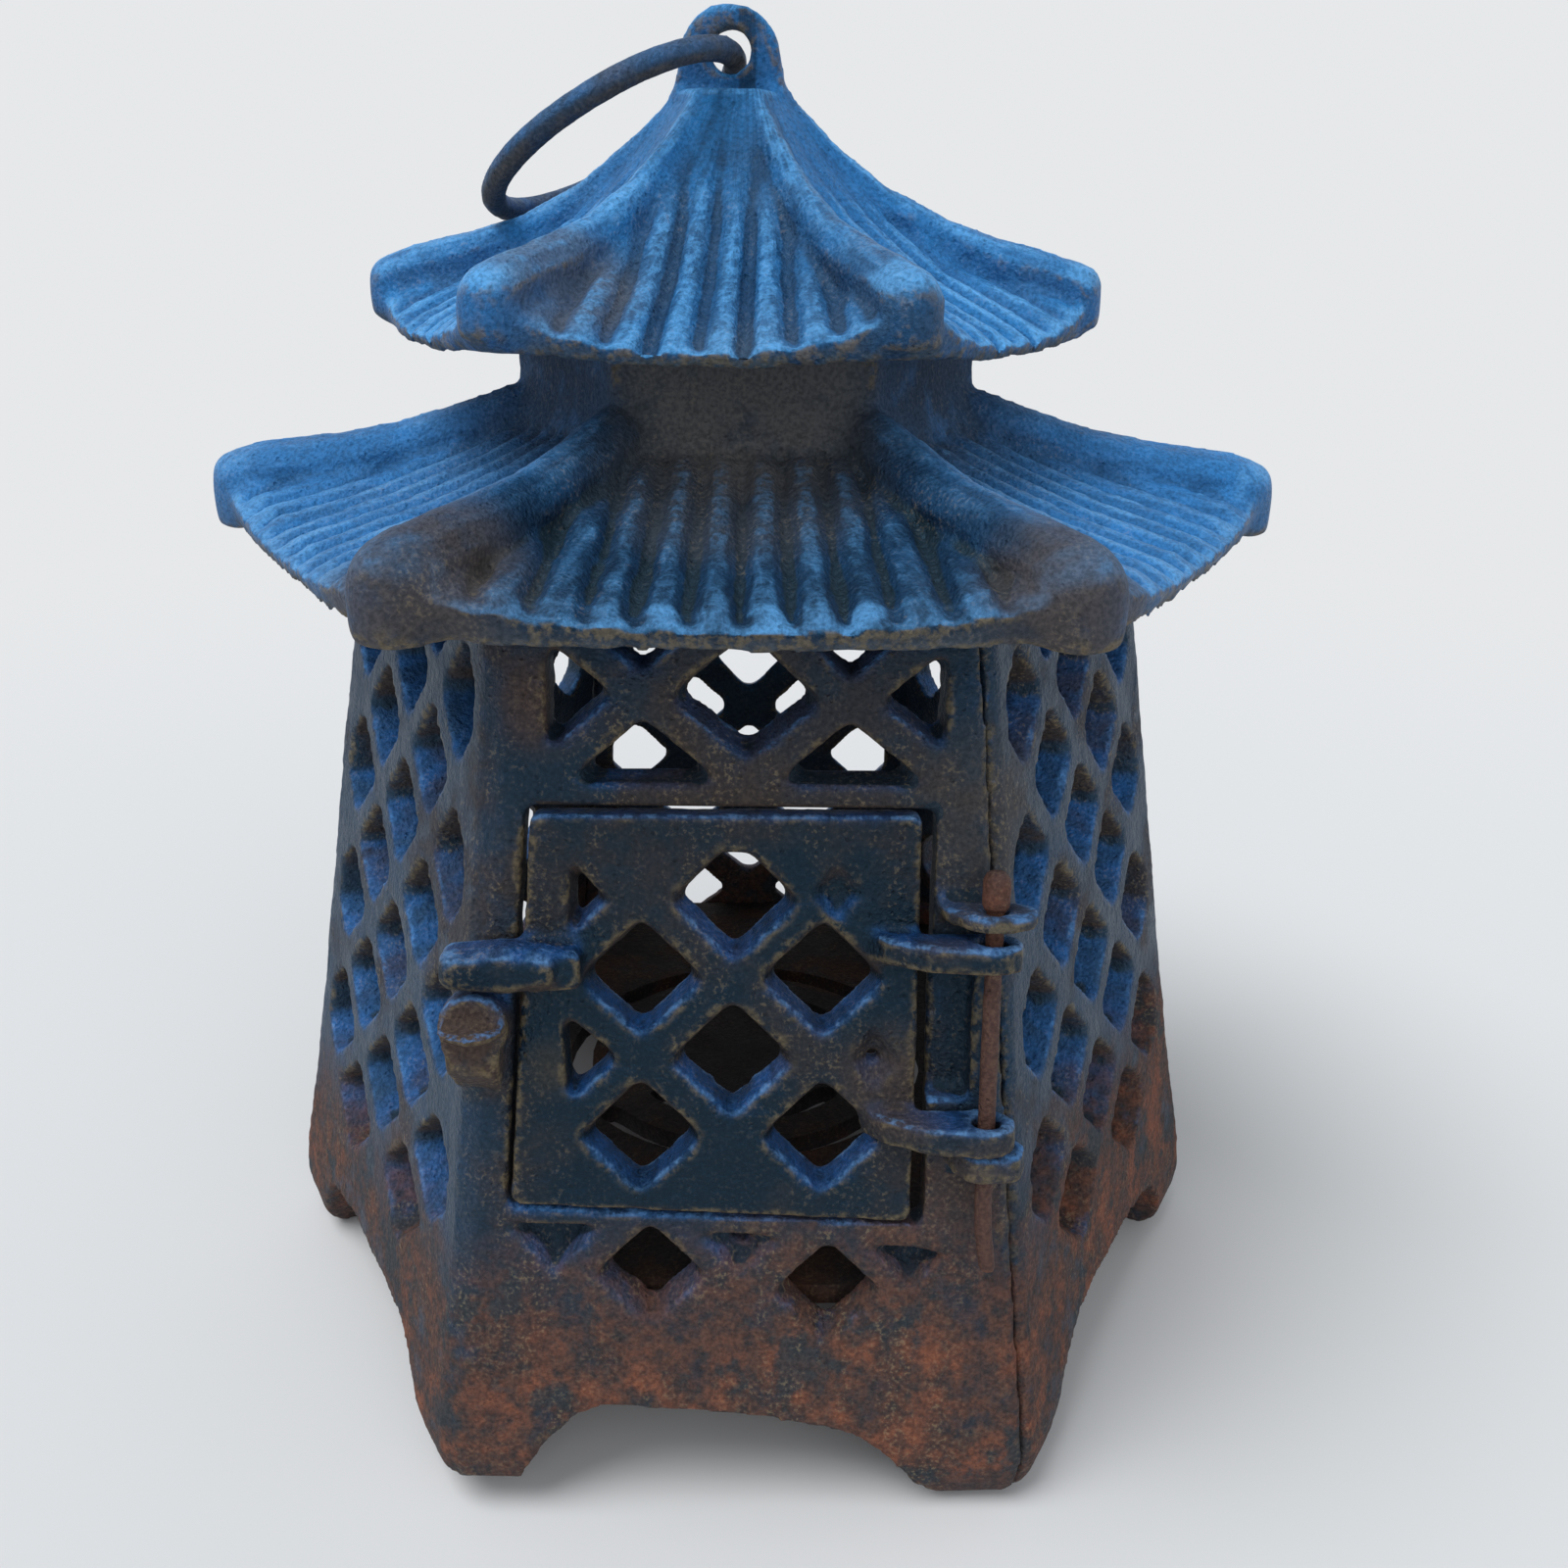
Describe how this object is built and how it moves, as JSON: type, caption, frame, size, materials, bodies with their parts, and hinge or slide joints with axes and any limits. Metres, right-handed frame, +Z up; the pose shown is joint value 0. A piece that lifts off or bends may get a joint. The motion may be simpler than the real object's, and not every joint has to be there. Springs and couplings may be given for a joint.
{
  "type": "hanging candle lantern",
  "caption": "Six-sided cast iron pagoda candle lantern: tapering lattice body on feet, hinged lattice door, two ribbed roofs and a wire ring to hang it by.",
  "frame": {"origin": "on the ground below the middle of the body", "axes": "+Z up, -Y out of the door, +X towards the door's hinge"},
  "size_m": [0.2, 0.1758, 0.2436],
  "materials": {
    "body_iron": "thin black paint over rough sand casting, rusted brown towards the feet",
    "door_iron": "thin black paint over rough sand casting, rusted along its bars",
    "roof_iron": "blue-black satin paint over rough sand casting, rusted at neck and hips",
    "floor_iron": "bare casting with an even brown rust",
    "ring_wire": "blue-black satin paint on thick wire",
    "rusted_rod": "matt brown rust",
    "rusted_fastener": "matt brown rust"
  },
  "bodies": {
    "lantern": {"front_body_half": "body_iron", "rear_body_half": "body_iron", "floor_plate": "floor_iron", "lower_roof": "roof_iron", "upper_roof": "roof_iron", "hinge_pin": "rusted_rod", "tie_rod_left": "rusted_rod", "tie_rod_washer_left": "rusted_fastener", "tie_rod_nut_left": "rusted_fastener", "tie_rod_right": "rusted_rod", "tie_rod_washer_right": "rusted_fastener", "tie_rod_nut_right": "rusted_fastener", "crown_bolt": "rusted_fastener"},
    "door": {"door": "door_iron"},
    "ring": {"hanging_ring": "ring_wire"}
  },
  "joints": [
    {"name": "door_hinge", "type": "hinge", "parent": "lantern", "child": "door", "pos_m": [0.0393, -0.07866, 0.09379], "axis": [0, 0.1519, 0.9884], "range_deg": [0, 185]},
    {"name": "ring_swing", "type": "hinge", "parent": "lantern", "child": "ring", "pos_m": [-0.0028, 0, 0.2362], "axis": [0.0698, 0.9976, 0], "range_deg": [0, 200]}
  ]
}
